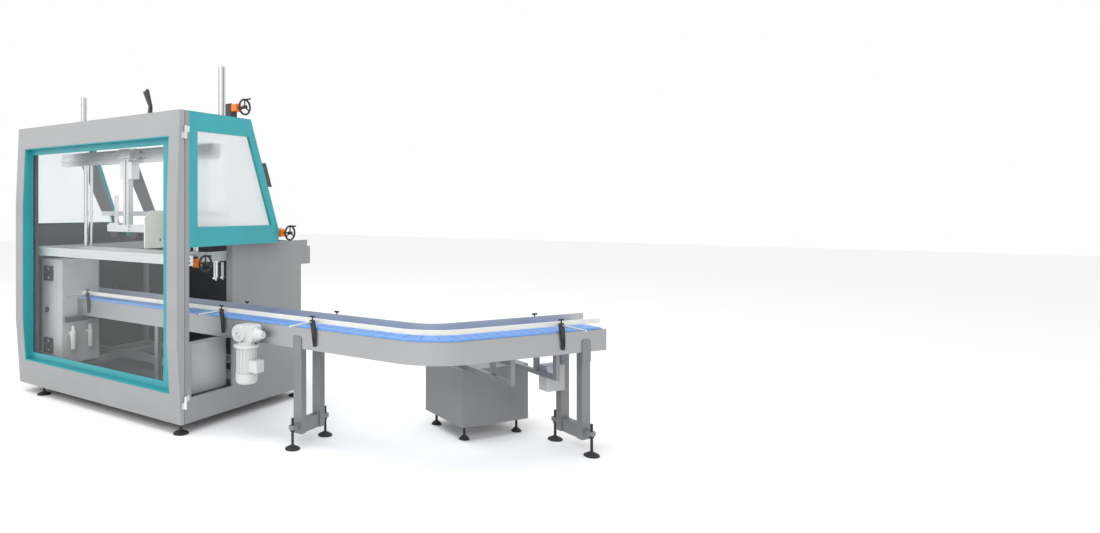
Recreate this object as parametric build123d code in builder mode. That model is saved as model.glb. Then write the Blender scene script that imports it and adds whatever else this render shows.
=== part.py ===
# Case forming machine with its discharge conveyor, in millimetres.
# Origin: floor point under the front right levelling foot, +X along the front to the right,
# +Y towards the back, +Z up.
import os
from math import cos, radians, sin, tan

from build123d import *

os.makedirs("parts", exist_ok=True)

# Body: outer sizes and the frame sections
body_width = 2127
body_height = 2289
base_depth = 1317
ground_gap = 80
base_height = 160
base_section = 60
corner_inset_x = 65
corner_inset_y = 19
post_width = 60
post_depth = 37
wall = 20
rear_post_size = 60
shoulder_height = 1320
roof_thickness = 25
header_height = 60

# Hood: trapezoid side frames with a frosted pane
hood_thickness = 25
hood_top_depth = 618
hood_bottom_depth = 940
hood_heel_height = 110
hood_side_border = 78
hood_top_border = 137
hood_bottom_border = 143
hood_slope_border = 72
pane_thickness = 6
pane_lap = 15
rear_bar_depth = 60
rear_bar_height = 90
rear_bar_lift = 10
edge_tab_low = 1770
edge_tab_high = 1960
edge_tab_reach = 75
edge_tab_lap = 50

# Front door: faceted grey frame with a teal lining and a clear pane
door_gap = 5
door_depth_top = 40
door_depth_belly = 68
door_depth_bottom = 30
door_upper_kink = 1630
door_lower_kink = 640
door_left_stile = 112
door_right_stile = 108
door_bottom_rail = 205
door_top_rail = 179
lining_thickness = 8
lining_setback = 2
lining_back = 7
door_pane_gap = 5
flange_top = 55
flange_bottom = 65
flange_right = 125
flange_left = 30
seam = 1
hinge_pin_radius = 6
hinge_pin_clearance = 0.4
hinge_knuckle_radius = 11
hinge_leaf = 4
hinge_leaf_height = 90
hinge_offset = 12
hinge_inset = 110
hinge_pin_end = 4
hinge_leaf_gap = 2
hinge_leaf_reach = 26

# Right side, rear and left walls
deck_height = 650
deck_thickness = 10
deck_width = 230
exit_width = 520
cabinet_recess = 100
cabinet_thickness = 60
cabinet_post_width = 95
cabinet_post_face = 67
cabinet_overhang = 60
valve_opening_start = 20
valve_opening_width = 403
valve_opening_sill = 15
valve_opening_head = 20
valve_panel_setback = 120
valve_panel_thickness = 10
valve_panel_width = 460
valve_panel_top_gap = 30
rear_plate_thickness = 8
rear_plate_reach_high = 110
rear_plate_reach_low = 150
rear_plate_split = 1265
rear_plate_bottom = 1110
cover_width = 112
cover_thickness = 8
cover_gap = 1

# Levelling feet
foot_radius = 55
foot_plate = 10
foot_dome = 14
stud_radius = 9
foot_rim = 6
foot_slope = 4
foot_spacing_x = 1770
foot_rear_inset = 60
foot_nut_radius = 16
foot_nut_height = 14
cabinet_foot_radius = 36
cabinet_foot_inset = 60

# Inner frame
mid_height = 1190
mid_section = 70
mid_rail_width = 60
lower_beam_depth = 40
cross_beam_front = 320
cross_beam_depth = 60
upper_beam_bottom = 1975
upper_beam_height = 110
upper_beam_depth = 80
upper_beam_setback = 22
beam_end_gap = 5
lower_slot_inset = 20
upper_slot_inset = 30
upper_beam_left = 67
upper_beam_right = 75
slot_width = 12
slot_depth = 14
column_radius = 22
rod_radius = 12
left_column_inset = 376
right_column_inset = 305
column_rod_spacing = 80
cross_member = 60
cross_member_height = 50
cross_member_places = (-1775, -620)
tray_thickness = 6
base_bar_front = 620
base_bar_depth = 50
base_bar_height = 60

# Electrical box inside the left of the window
box_edge = 4
electric_width = 320
electric_depth = 370
electric_height = 905
electric_left_gap = 37
electric_front_gap = 144
fan_size = 130
fan_depth = 18
fan_bore = 54
fan_inset = 125
fan_heights = (389, 1024)
fan_corner = 8
fan_spoke = 6
switch_radius = 20
switch_depth = 8
switch_lever = 16
switch_inset = 105
switch_height = 703
unit_radius = 26
unit_bowl_height = 120
unit_bowl_bottom = 360
unit_place = 204
regulator_place = 370

# Lift cylinders under the right rail of the middle level
cylinder_places = (512, 585)
cylinder_reach = 28
cylinder_radii = (22, 16)
cylinder_length = 120
cylinder_cap = 14
cylinder_foot = 12

# Forming mast, its carriage and the head
mast_x = -940
mast_width = 70
mast_depth = 45
mast_bottom = 1463
mast_top = 1995
carriage_width = 150
carriage_drop = 140
carriage_depth = 30
running_gap = 0.3
valve_block_width = 140
valve_block_depth = 60
valve_block_height = 75
valve_block_gap = 10
head_left_reach = 205
head_right_reach = 400
head_depth = 110
head_height = 56
head_step = 14
upright_width = 45
upright_thickness = 8
upright_height = 300
side_plate_thickness = 12
side_plate_front = 95
side_plate_rear = 275
side_plate_bottom = 1290
side_plate_top = 1580
side_plate_corner = 60
side_plate_hole = 14
gripper_width = 90
gripper_depth = 80
gripper_height = 45
gripper_places = (-1070, -815, -655)
cup_neck = 14
cup_taper = 8
cup_height = 22

# Magazine side plates inside the hood
magazine_thickness = 10
magazine_left_x = -1800
magazine_right_x = -1180
magazine_top_depth = 92
magazine_foot_depth = 120
magazine_foot_back = 700
magazine_foot_height = 1570
magazine_bar_right = -330
magazine_bar_depth = 50
magazine_bar_height = 40

# Posts, rod and adjusters on the roof
roof_post = 45
left_post_x = -1825
left_post_y = 412
left_post_height = 315
right_post_x = 0
right_post_y = 386
right_post_height = 378
sloped_rod_radius = 9
sloped_rod_y = 388
rod_foot_x = -850
rod_bracket_height = 280
rod_bracket_lean = 55
rod_bracket_thickness = 24
rod_bracket_waist = 150
rod_lean_x = -266
rod_top_height = 728

# Handwheels and position indicators
wheel_radius = 65
wheel_rim = 8
rim_sides = 10
wheel_hub_radius = 14
wheel_hub_length = 36
wheel_spoke = 8
wheel_handle_radius = 6.5
wheel_handle_length = 62
spindle_radius = 7
spindle_length = 50
spindle_gap = 0.5
indicator_width = 50
indicator_size = 62
gear_width = 85
gear_size = 70
roof_gear_x = -135
roof_gear_y = 566
roof_gear_z = 2377
rear_gear_y = 1040
rear_gear_z = 1395
side_gear_y = 202
side_gear_z = 1194
side_gear_lift = 10
side_gear_plate = 14

# Conveyor: one straight, a bend and a second straight
conveyor_start = -1700
conveyor_front = 274
conveyor_width = 250
corner_x = 1865
bend_angle = 60
bend_radius = 450
second_run = 1085
side_bottom = 660
side_top = 800
side_thickness = 6
side_lip = 25
belt_top = 815
belt_thickness = 14
belt_overhang = 2
link_pitch = 76.2
link_groove = 6
link_groove_depth = 4
loop_depth = 125
bed_height = 38
wheel_shaft_radius = 12
wheel_end_gap = 4
fit_gap = 0.3
rail_bottom = 835
rail_top = 866
rail_thickness = 8
front_rail_inset = 44
rear_rail_inset = 206
rear_rail_bottom = 822
rear_rail_top = 878
rail_start_inset = 2
rail_end_inset = 10

# Guide rail brackets along the conveyor
bracket_width = 36
bracket_thickness = 14
bracket_foot = 690
bracket_lean = 17
bracket_slot = 50
bracket_slot_width = 9
clamp_size = 26
knob_stem_radius = 5
knob_stem = 18
knob_length = 40
knob_width = 12
knob_height = 10
cross_rod_radius = 6
rod_outreach = 230
rod_tail = 40
bracket_places = (-1541, 128, 985)
bracket_run = 961

# H shaped conveyor stands
stand_one_x = 850
stand_two_run = 1172
stand_post_width = 70
stand_post_depth = 50
stand_bar_bottom = 90
stand_bar_height = 90
stand_foot_reach = 50
stand_head_height = 72
stand_head_drop = 60
stand_head_corner = 12
stand_head_thickness = 6
stand_foot_radius = 50
stand_foot_bracket = 28
stand_foot_width = 36
stand_foot_lift = 40
stand_stud_top = 205
stand_nut_lift = 26
inner_post = 40
inner_post_inset = 20
end_bracket_width = 65
end_bracket_thickness = 8
end_bracket_drop = 60
end_bracket_front = 150

# Gear motor on the front side plate
gear_x = 455
gear_z = 728
gear_box_width = 150
gear_box_height = 120
gear_box_corner = 22
gear_box_shift = 10
gear_reach = 95
gear_flange_radius = 62
gear_flange_shift = 55
gear_flange_height = 16
gear_hub_radius = 26
gear_shaft_radius = 14
gear_hub_length = 10
gear_cone_radius = 44
gear_cone_start = 65
gear_cone_length = 70
gear_neck_radius = 58
gear_neck_height = 14
motor_radius = 66
motor_flange_radius = 88
motor_flange_height = 14
motor_length = 250
motor_hood_height = 58
motor_hood_lap = 9
fin_count = 18
fin_depth = 12
fin_thickness = 3.2
terminal_size = 80

# Floor cabinet beside the second straight
cabinet_length = 560
cabinet_breadth = 490
cabinet_bottom = 100
cabinet_top = 492
cabinet_run = 540
cabinet_offset = 499
bearer = 30
bearer_places = (60, 410)
bearer_inset = 12
bearer_end_gap = 100

# Small control box on the second stand
control_width = 150
control_height = 170
control_depth = 90
control_bottom = 380

# Worked out from the sizes above
right = corner_inset_x
left = right - body_width
front = -corner_inset_y
back = front + base_depth
post_back = front + post_depth
base_top = ground_gap + base_height
roof_bottom = body_height - roof_thickness
hood_inner = right - hood_thickness
hood_left_inner = left + hood_thickness
hood_top_back = post_back + hood_top_depth
hood_back = post_back + hood_bottom_depth
door_back = front - door_gap
window_left = left + door_left_stile
window_right = right - door_right_stile
window_bottom = ground_gap + door_bottom_rail
window_top = body_height - door_top_rail
window_mid_x = (window_left + window_right) / 2
window_mid_z = (window_bottom + window_top) / 2
window_width = window_right - window_left
window_height = window_top - window_bottom
mid_top = mid_height + mid_section
curve_x = corner_x - bend_radius * tan(radians(bend_angle / 2))
curve_y = conveyor_front + bend_radius
heading = Vector(cos(radians(bend_angle)), sin(radians(bend_angle)))
inward = Vector(-heading.Y, heading.X)
bend_end = Vector(
    curve_x + bend_radius * sin(radians(bend_angle)),
    curve_y - bend_radius * cos(radians(bend_angle)),
)
corner = Vector(corner_x, conveyor_front)
conveyor_back = conveyor_front + conveyor_width
deck_bottom = deck_height - deck_thickness
cabinet_front = front + exit_width + post_depth
cabinet_inner = right - cabinet_recess - cabinet_thickness
right_rail_x = right - cabinet_recess - cabinet_post_face - mid_rail_width
rear_bar_bottom = shoulder_height + rear_bar_lift
rear_bar_front = hood_back - rear_bar_depth
upper_beam_back = cross_beam_front - upper_beam_setback + upper_beam_depth
beam_face = upper_beam_back - upper_beam_depth
column_y = cross_beam_front + cross_beam_depth / 2
left_column_x = left + left_column_inset
right_column_x = right - right_column_inset
mast_back = beam_face - carriage_depth - running_gap
head_y = mast_back - mast_depth / 2
electric_left = left + electric_left_gap
electric_right = electric_left + electric_width
electric_front = front + electric_front_gap
lining_rear = front + lining_back
loop_radius = loop_depth / 2


def save(piece, name):
    """Label a finished piece and write it."""
    piece.part.label = name
    export_step(piece.part, f"parts/{name}.step")


def lane(near, far, start, run_out):
    """Plan face of a lane between two distances from the conveyor's front face."""
    with BuildSketch() as plan:
        with BuildLine():
            near_line = Line((start, conveyor_front + near), (curve_x, conveyor_front + near))
            near_arc = CenterArc((curve_x, curve_y), bend_radius - near, -90, bend_angle)
            near_run = Line(near_arc @ 1, near_arc @ 1 + run_out * heading)
            end = Line(near_run @ 1, near_run @ 1 + (far - near) * inward)
            Line(end @ 1, end @ 1 - run_out * heading)
            far_arc = CenterArc(
                (curve_x, curve_y), bend_radius - far, -90 + bend_angle, -bend_angle
            )
            far_line = Line(far_arc @ 1, (start, conveyor_front + far))
            Line(far_line @ 1, near_line @ 0)
        make_face()
    return plan.sketch


def run_plane(along, across, height):
    """Plane on the second straight: x along its heading, y towards the inside of the bend."""
    spot = corner + along * heading + across * inward
    return Plane(origin=(spot.X, spot.Y, height), x_dir=(heading.X, heading.Y, 0), z_dir=(0, 0, 1))


# Base frame, with two cross members under the inner pieces
with BuildPart() as base_frame:
    with BuildSketch(Plane.XY.offset(ground_gap)):
        with Locations(((left + right) / 2, (front + back) / 2)):
            Rectangle(body_width, base_depth)
            Rectangle(body_width - 2 * base_section, base_depth - 2 * base_section, mode=Mode.SUBTRACT)
    extrude(amount=base_height)
    with BuildSketch(Plane.XY.offset(base_top - cross_member_height)):
        with Locations(*[(x, (front + back) / 2) for x in cross_member_places]):
            Rectangle(cross_member, base_depth - 2 * base_section)
    extrude(amount=cross_member_height)
    with BuildSketch(Plane.XY.offset(ground_gap)):
        with Locations(
            (right - post_width / 2, (front + post_back) / 2),
            (left + post_width / 2, (front + post_back) / 2),
        ):
            Rectangle(post_width, post_depth)
    extrude(amount=base_height, mode=Mode.SUBTRACT)
save(base_frame, "base_frame")

# Floor tray inside the base
with BuildPart() as floor_tray:
    with BuildSketch(Plane.XY.offset(base_top - cross_member_height)):
        with Locations(((left + right) / 2, (front + back) / 2)):
            Rectangle(body_width - 2 * base_section, base_depth - 2 * base_section)
    extrude(amount=-tray_thickness)
save(floor_tray, "floor_tray")

# Light bars along the machine: on the base, and under the feet of the magazine plates
with BuildPart() as cross_bars:
    with BuildSketch(Plane.XY.offset(base_top)):
        with Locations(((left + right) / 2, base_bar_front + base_bar_depth / 2)):
            Rectangle(body_width - 2 * wall, base_bar_depth)
    extrude(amount=base_bar_height)
    with BuildSketch(Plane.XY.offset(magazine_foot_height - magazine_bar_height)):
        with Locations(
            (
                (magazine_left_x + magazine_bar_right) / 2,
                magazine_foot_back - magazine_foot_depth + magazine_bar_depth / 2,
            )
        ):
            Rectangle(magazine_bar_right - magazine_left_x, magazine_bar_depth)
    extrude(amount=magazine_bar_height)
save(cross_bars, "cross_bars")

# Front corner posts, full height, and rear posts up to the shoulder and the deck
with BuildPart() as frame_posts:
    with BuildSketch(Plane.XY.offset(ground_gap)):
        with Locations(
            (right - post_width / 2, (front + post_back) / 2),
            (left + post_width / 2, (front + post_back) / 2),
        ):
            Rectangle(post_width, post_depth)
    extrude(amount=body_height - ground_gap)
    with BuildSketch(Plane.XY.offset(base_top)):
        with Locations((left + rear_post_size / 2, back - rear_post_size / 2)):
            Rectangle(rear_post_size, rear_post_size)
    extrude(amount=shoulder_height - base_top)
    with BuildSketch(Plane.XY.offset(base_top)):
        with Locations((right - rear_post_size / 2, back - rear_post_size / 2)):
            Rectangle(rear_post_size, rear_post_size)
    extrude(amount=deck_bottom - base_top)
save(frame_posts, "frame_posts")

# Roof panel with the front header folded down
with BuildPart() as roof_panel:
    with BuildSketch(Plane.XY.offset(roof_bottom)):
        with Locations(((hood_left_inner + hood_inner) / 2, (post_back + hood_top_back) / 2)):
            Rectangle(hood_inner - hood_left_inner, hood_top_depth)
    extrude(amount=roof_thickness)
    with BuildSketch(Plane.XY.offset(body_height - header_height)):
        with Locations(((left + right) / 2, (front + post_back) / 2)):
            Rectangle(body_width - 2 * post_width, post_depth)
    extrude(amount=header_height)
save(roof_panel, "roof_panel")


def hood_outline():
    """Side outline of the hood, in depth and height."""
    with BuildSketch() as outline:
        with BuildLine():
            Polyline(
                (post_back, shoulder_height),
                (hood_back, shoulder_height),
                (hood_back, shoulder_height + hood_heel_height),
                (hood_top_back, body_height),
                (post_back, body_height),
                close=True,
            )
        make_face()
    return outline.sketch


def hood_slope_at(height):
    """Depth of the sloped rear edge at a height."""
    heel = shoulder_height + hood_heel_height
    share = (height - heel) / (body_height - heel)
    return hood_back + share * (hood_top_back - hood_back)


def hood_window(grow):
    """Window outline in the hood side, grown by the pane's lap."""
    low = shoulder_height + hood_bottom_border - grow
    high = body_height - hood_top_border + grow
    near = post_back + hood_side_border - grow
    inset = hood_slope_border - grow
    with BuildSketch() as outline:
        with BuildLine():
            Polyline(
                (near, low),
                (hood_slope_at(low) - inset, low),
                (hood_slope_at(high) - inset, high),
                (near, high),
                close=True,
            )
        make_face()
    return outline.sketch


# Teal hood frames on the right and left sides
with BuildPart() as hood_frames:
    for side_x in (hood_inner, left):
        with BuildSketch(Plane.YZ.offset(side_x)):
            add(hood_outline())
            add(hood_window(0), mode=Mode.SUBTRACT)
        extrude(amount=hood_thickness)
save(hood_frames, "hood_frames")

# Frosted panes, seated against the inside of the hood frames
with BuildPart() as hood_panes:
    with BuildSketch(Plane.YZ.offset(hood_inner - pane_thickness)):
        add(hood_window(pane_lap))
    extrude(amount=pane_thickness)
    with BuildSketch(Plane.YZ.offset(hood_left_inner)):
        add(hood_window(pane_lap))
    extrude(amount=pane_thickness)
save(hood_panes, "hood_panes")

# Rear bar between the two hood frames
with BuildPart() as hood_rear_bar:
    with BuildSketch(Plane.YZ.offset(hood_left_inner)):
        with Locations((hood_back - rear_bar_depth / 2, rear_bar_bottom + rear_bar_height / 2)):
            Rectangle(rear_bar_depth, rear_bar_height)
    extrude(amount=hood_inner - hood_left_inner)
save(hood_rear_bar, "hood_rear_bar")

# Dark covers beside the left post and inside the left hood frame, and the tab at the right slope
with BuildPart() as inner_covers:
    with BuildSketch(Plane.XY.offset(base_top)):
        with Locations((left + post_width + cover_width / 2, post_back - cover_thickness / 2)):
            Rectangle(cover_width, cover_thickness)
    extrude(amount=body_height - header_height - base_top)
    with BuildSketch(Plane.YZ.offset(hood_left_inner)):
        with BuildLine():
            Polyline(
                (post_back, shoulder_height),
                (rear_bar_front, shoulder_height),
                (rear_bar_front, shoulder_height + hood_bottom_border - pane_lap - cover_gap),
                (post_back, shoulder_height + hood_bottom_border - pane_lap - cover_gap),
                close=True,
            )
        make_face()
    extrude(amount=cover_thickness)
    with BuildSketch(Plane.YZ.offset(hood_inner - pane_thickness)):
        with BuildLine():
            Polyline(
                (hood_slope_at(edge_tab_low) - edge_tab_lap, edge_tab_low),
                (hood_slope_at(edge_tab_low) + edge_tab_reach, edge_tab_low),
                (hood_slope_at(edge_tab_high) + edge_tab_reach, edge_tab_high),
                (hood_slope_at(edge_tab_high) - edge_tab_lap, edge_tab_high),
                close=True,
            )
        make_face()
    extrude(amount=pane_thickness)
save(inner_covers, "inner_covers")

# Lower right wall with the valve opening and the deck over it
with BuildPart() as lower_right_wall:
    with BuildSketch(Plane.YZ.offset(right - wall)):
        with BuildLine():
            Polyline(
                (post_back, base_top),
                (back - rear_post_size, base_top),
                (back - rear_post_size, deck_height),
                (post_back, deck_height),
                close=True,
            )
        make_face()
        with Locations(
            (
                post_back + valve_opening_start + valve_opening_width / 2,
                (base_top + valve_opening_sill + deck_height - valve_opening_head) / 2,
            )
        ):
            Rectangle(
                valve_opening_width,
                deck_height - base_top - valve_opening_sill - valve_opening_head,
                mode=Mode.SUBTRACT,
            )
    extrude(amount=wall)
    with BuildSketch(Plane.XY.offset(deck_bottom)):
        with Locations((right - deck_width / 2, (cabinet_front + back) / 2)):
            Rectangle(deck_width, back - cabinet_front)
    extrude(amount=deck_thickness)
save(lower_right_wall, "lower_right_wall")

# Plate that carries the valves behind the opening
with BuildPart() as valve_panel:
    with BuildSketch(Plane.YZ.offset(right - valve_panel_setback)):
        with Locations(
            (post_back + valve_panel_width / 2, (base_top + deck_height - valve_panel_top_gap) / 2)
        ):
            Rectangle(valve_panel_width, deck_height - valve_panel_top_gap - base_top)
    extrude(amount=valve_panel_thickness)
save(valve_panel, "valve_panel")

# Upper right cabinet wall, set in from the side, with its folded front post and rear plates
with BuildPart() as right_cabinet:
    with BuildSketch(Plane.XY.offset(deck_height)):
        with BuildLine():
            Polyline(
                (right - cabinet_recess, cabinet_front),
                (right - cabinet_recess, back + cabinet_overhang),
                (cabinet_inner, back + cabinet_overhang),
                (cabinet_inner, cabinet_front + cabinet_post_width),
                (right - cabinet_recess - cabinet_post_face, cabinet_front + cabinet_post_width),
                (right - cabinet_recess - cabinet_post_face, cabinet_front),
                close=True,
            )
        make_face()
    extrude(amount=shoulder_height - deck_height)
    with BuildSketch(Plane.YZ.offset(right - cabinet_recess - cabinet_thickness / 2)):
        with BuildLine():
            Polyline(
                (back + cabinet_overhang, rear_plate_bottom),
                (back + cabinet_overhang + rear_plate_reach_low, rear_plate_bottom),
                (back + cabinet_overhang + rear_plate_reach_low, rear_plate_split),
                (back + cabinet_overhang + rear_plate_reach_high, rear_plate_split),
                (back + cabinet_overhang + rear_plate_reach_high, shoulder_height),
                (back + cabinet_overhang, shoulder_height),
                close=True,
            )
        make_face()
    extrude(amount=rear_plate_thickness)
save(right_cabinet, "right_cabinet")

# Left wall and rear wall
with BuildPart() as left_wall:
    with BuildSketch(Plane.YZ.offset(left)):
        with BuildLine():
            Polyline(
                (post_back, base_top),
                (back - rear_post_size, base_top),
                (back - rear_post_size, shoulder_height),
                (post_back, shoulder_height),
                close=True,
            )
        make_face()
    extrude(amount=wall)
save(left_wall, "left_wall")

with BuildPart() as rear_wall:
    with BuildSketch(Plane.XZ.offset(wall - back)):
        with BuildLine():
            Polyline(
                (left + rear_post_size, base_top),
                (right - rear_post_size, base_top),
                (right - rear_post_size, deck_bottom),
                (right - deck_width, deck_bottom),
                (right - deck_width, deck_height),
                (cabinet_inner, deck_height),
                (cabinet_inner, shoulder_height),
                (left + rear_post_size, shoulder_height),
                close=True,
            )
        make_face()
    extrude(amount=-wall)
save(rear_wall, "rear_wall")

# Magazine side plates that slope down from the upper beam to their bar
with BuildPart() as magazine_plates:
    for plate_x in (magazine_left_x, magazine_right_x):
        with BuildSketch(Plane.YZ.offset(plate_x)):
            with BuildLine():
                Polyline(
                    (upper_beam_back, upper_beam_bottom),
                    (upper_beam_back, upper_beam_bottom + upper_beam_height),
                    (upper_beam_back + magazine_top_depth, upper_beam_bottom + upper_beam_height),
                    (magazine_foot_back, magazine_foot_height),
                    (magazine_foot_back - magazine_foot_depth, magazine_foot_height),
                    close=True,
                )
            make_face()
        extrude(amount=magazine_thickness)
save(magazine_plates, "magazine_plates")


def foot_profile(radius, stud_top):
    """Half section of a levelling foot: plate, dome and stud."""
    with BuildSketch(Plane.XZ) as half:
        with BuildLine():
            Polyline(
                (0, 0),
                (radius, 0),
                (radius, foot_rim),
                (radius - foot_slope, foot_plate),
                (2 * stud_radius, foot_plate + foot_dome),
                (stud_radius, foot_plate + foot_dome + foot_rim),
                (stud_radius, stud_top),
                (0, stud_top),
                close=True,
            )
        make_face()
    return half.sketch


def door_face_at(height):
    """Depth of the door's faceted face at a height."""
    if height > door_upper_kink:
        share = (height - door_upper_kink) / (body_height - door_upper_kink)
        return door_back - door_depth_belly + share * (door_depth_belly - door_depth_top)
    if height < door_lower_kink:
        share = (door_lower_kink - height) / (door_lower_kink - ground_gap)
        return door_back - door_depth_belly + share * (door_depth_belly - door_depth_bottom)
    return door_back - door_depth_belly


def door_outline(bottom, top, setback, rear):
    """Faceted side outline of the door between two heights."""
    heights = [bottom, door_lower_kink, door_upper_kink, top]
    heights = [height for height in heights if bottom <= height <= top]
    face = [(door_face_at(height) + setback, height) for height in heights]
    with BuildSketch() as outline:
        with BuildLine():
            Polyline(*face, (rear, top), (rear, bottom), close=True)
        make_face()
    return outline.sketch


# Door stiles, full height, with the faceted profile
with BuildPart() as door_stiles:
    for edge, breadth in ((left, door_left_stile), (window_right, door_right_stile)):
        with BuildSketch(Plane.YZ.offset(edge)):
            add(door_outline(ground_gap, body_height, 0, door_back))
        extrude(amount=breadth)
save(door_stiles, "door_stiles")

# Door rails between the stiles
with BuildPart() as door_rails:
    for bottom, top in ((ground_gap, window_bottom), (window_top, body_height)):
        with BuildSketch(Plane.YZ.offset(window_left)):
            add(door_outline(bottom, top, 0, door_back))
        extrude(amount=window_width)
save(door_rails, "door_rails")

# Teal lining of the door opening, with a flange that holds the pane
with BuildPart() as door_lining:
    with BuildSketch(Plane.YZ.offset(window_left)):
        add(door_outline(window_bottom, window_top, lining_setback, lining_rear))
    extrude(amount=window_width)
    with BuildSketch(Plane.XZ.offset(-lining_rear)):
        with Locations((window_mid_x, window_mid_z)):
            Rectangle(window_width - 2 * lining_thickness, window_height - 2 * lining_thickness)
    extrude(amount=2 * door_depth_belly, mode=Mode.SUBTRACT)
    with BuildSketch(Plane.XZ.offset(-lining_rear)):
        with Locations((window_mid_x, window_mid_z)):
            Rectangle(window_width, window_height)
        with BuildLine():
            Polyline(
                (window_left + flange_left, window_bottom + flange_bottom),
                (window_right - flange_right, window_bottom + flange_bottom),
                (window_right - flange_right, window_top - flange_top),
                (window_left + flange_left, window_top - flange_top),
                close=True,
            )
        make_face(mode=Mode.SUBTRACT)
    extrude(amount=lining_thickness)
save(door_lining, "door_lining")

# Clear pane behind the flange
with BuildPart() as door_pane:
    with BuildSketch(Plane.XZ.offset(-lining_rear)):
        with Locations((window_mid_x, window_mid_z)):
            Rectangle(window_width - 2 * door_pane_gap, window_height - 2 * door_pane_gap)
    extrude(amount=-pane_thickness)
save(door_pane, "door_pane")

# Hinges: pins and upper knuckles on the post, lower knuckles on the door
hinge_x = right + hinge_offset
hinge_heights = (ground_gap + hinge_inset, body_height - hinge_inset - hinge_leaf_height)
half_leaf = hinge_leaf_height / 2
with BuildPart() as hinge_pins:
    for height in hinge_heights:
        with BuildSketch(Plane.XY.offset(height + half_leaf + seam)):
            with BuildLine():
                Polyline(
                    (right, front),
                    (hinge_x, front),
                    (hinge_x, front + hinge_leaf),
                    (right + hinge_leaf, front + hinge_leaf),
                    (right + hinge_leaf, post_back),
                    (right, post_back),
                    close=True,
                )
            make_face()
            with Locations((hinge_x, door_back)):
                Circle(hinge_knuckle_radius)
        extrude(amount=half_leaf - seam)
        with BuildSketch(Plane.XY.offset(height - hinge_pin_end)):
            with Locations((hinge_x, door_back)):
                Circle(hinge_pin_radius)
        extrude(amount=half_leaf + seam + hinge_pin_end)
save(hinge_pins, "hinge_pins")

leaf_front = door_back - hinge_leaf_gap
with BuildPart() as door_knuckles:
    for height in hinge_heights:
        with BuildSketch(Plane.XY.offset(height)):
            with BuildLine():
                Polyline(
                    (right, leaf_front),
                    (hinge_x, leaf_front),
                    (hinge_x, leaf_front - hinge_leaf),
                    (right + hinge_leaf, leaf_front - hinge_leaf),
                    (right + hinge_leaf, leaf_front - hinge_leaf_reach),
                    (right, leaf_front - hinge_leaf_reach),
                    close=True,
                )
            make_face()
            with Locations((hinge_x, door_back)):
                Circle(hinge_knuckle_radius)
                Circle(hinge_pin_radius + hinge_pin_clearance, mode=Mode.SUBTRACT)
        extrude(amount=half_leaf)
save(door_knuckles, "door_knuckles")

# Lower aluminium beam behind the pane, with a slotted face
with BuildPart() as lower_beam:
    with BuildSketch(Plane.YZ.offset(left + wall)):
        with Locations((post_back + lower_beam_depth / 2, mid_height + mid_section / 2)):
            Rectangle(lower_beam_depth, mid_section)
        for height in (mid_height + lower_slot_inset, mid_top - lower_slot_inset):
            with Locations((post_back + slot_depth / 2, height)):
                Rectangle(slot_depth, slot_width, mode=Mode.SUBTRACT)
    extrude(amount=right - beam_end_gap - left - wall)
save(lower_beam, "lower_beam")

# Side rails of the middle level
mid_rail_start = post_back + lower_beam_depth
with BuildPart() as mid_side_rails:
    with BuildSketch(Plane.XY.offset(mid_height)):
        with Locations(
            (left + wall + mid_rail_width / 2, (mid_rail_start + back - rear_post_size) / 2),
            (right_rail_x + mid_rail_width / 2, (mid_rail_start + back - rear_post_size) / 2),
        ):
            Rectangle(mid_rail_width, back - rear_post_size - mid_rail_start)
    extrude(amount=mid_section)
save(mid_side_rails, "mid_side_rails")

# Cross beam that carries the guide columns
with BuildPart() as mid_cross_beam:
    with BuildSketch(Plane.XY.offset(mid_height)):
        with Locations(
            (
                (left + wall + mid_rail_width + right_rail_x) / 2,
                cross_beam_front + cross_beam_depth / 2,
            )
        ):
            Rectangle(right_rail_x - left - wall - mid_rail_width, cross_beam_depth)
    extrude(amount=mid_section)
save(mid_cross_beam, "mid_cross_beam")

# Guide columns and polished rods up to the upper beam
with BuildPart() as guide_columns:
    with BuildSketch(Plane.XY.offset(mid_top)):
        with Locations((left_column_x, column_y), (right_column_x, column_y)):
            Circle(column_radius)
        with Locations(
            (left_column_x + column_rod_spacing, column_y),
            (right_column_x - column_rod_spacing, column_y),
        ):
            Circle(rod_radius)
    extrude(amount=upper_beam_bottom - mid_top)
save(guide_columns, "guide_columns")

# Upper slotted beam
upper_beam_y = upper_beam_back - upper_beam_depth / 2
with BuildPart() as upper_beam:
    with BuildSketch(Plane.YZ.offset(left + upper_beam_left)):
        with Locations((upper_beam_y, upper_beam_bottom + upper_beam_height / 2)):
            Rectangle(upper_beam_depth, upper_beam_height)
        for height in (upper_slot_inset, upper_beam_height - upper_slot_inset):
            for depth in (upper_beam_back - slot_depth / 2, beam_face + slot_depth / 2):
                with Locations((depth, upper_beam_bottom + height)):
                    Rectangle(slot_depth, slot_width, mode=Mode.SUBTRACT)
    extrude(amount=body_width - upper_beam_left - upper_beam_right)
save(upper_beam, "upper_beam")

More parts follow.
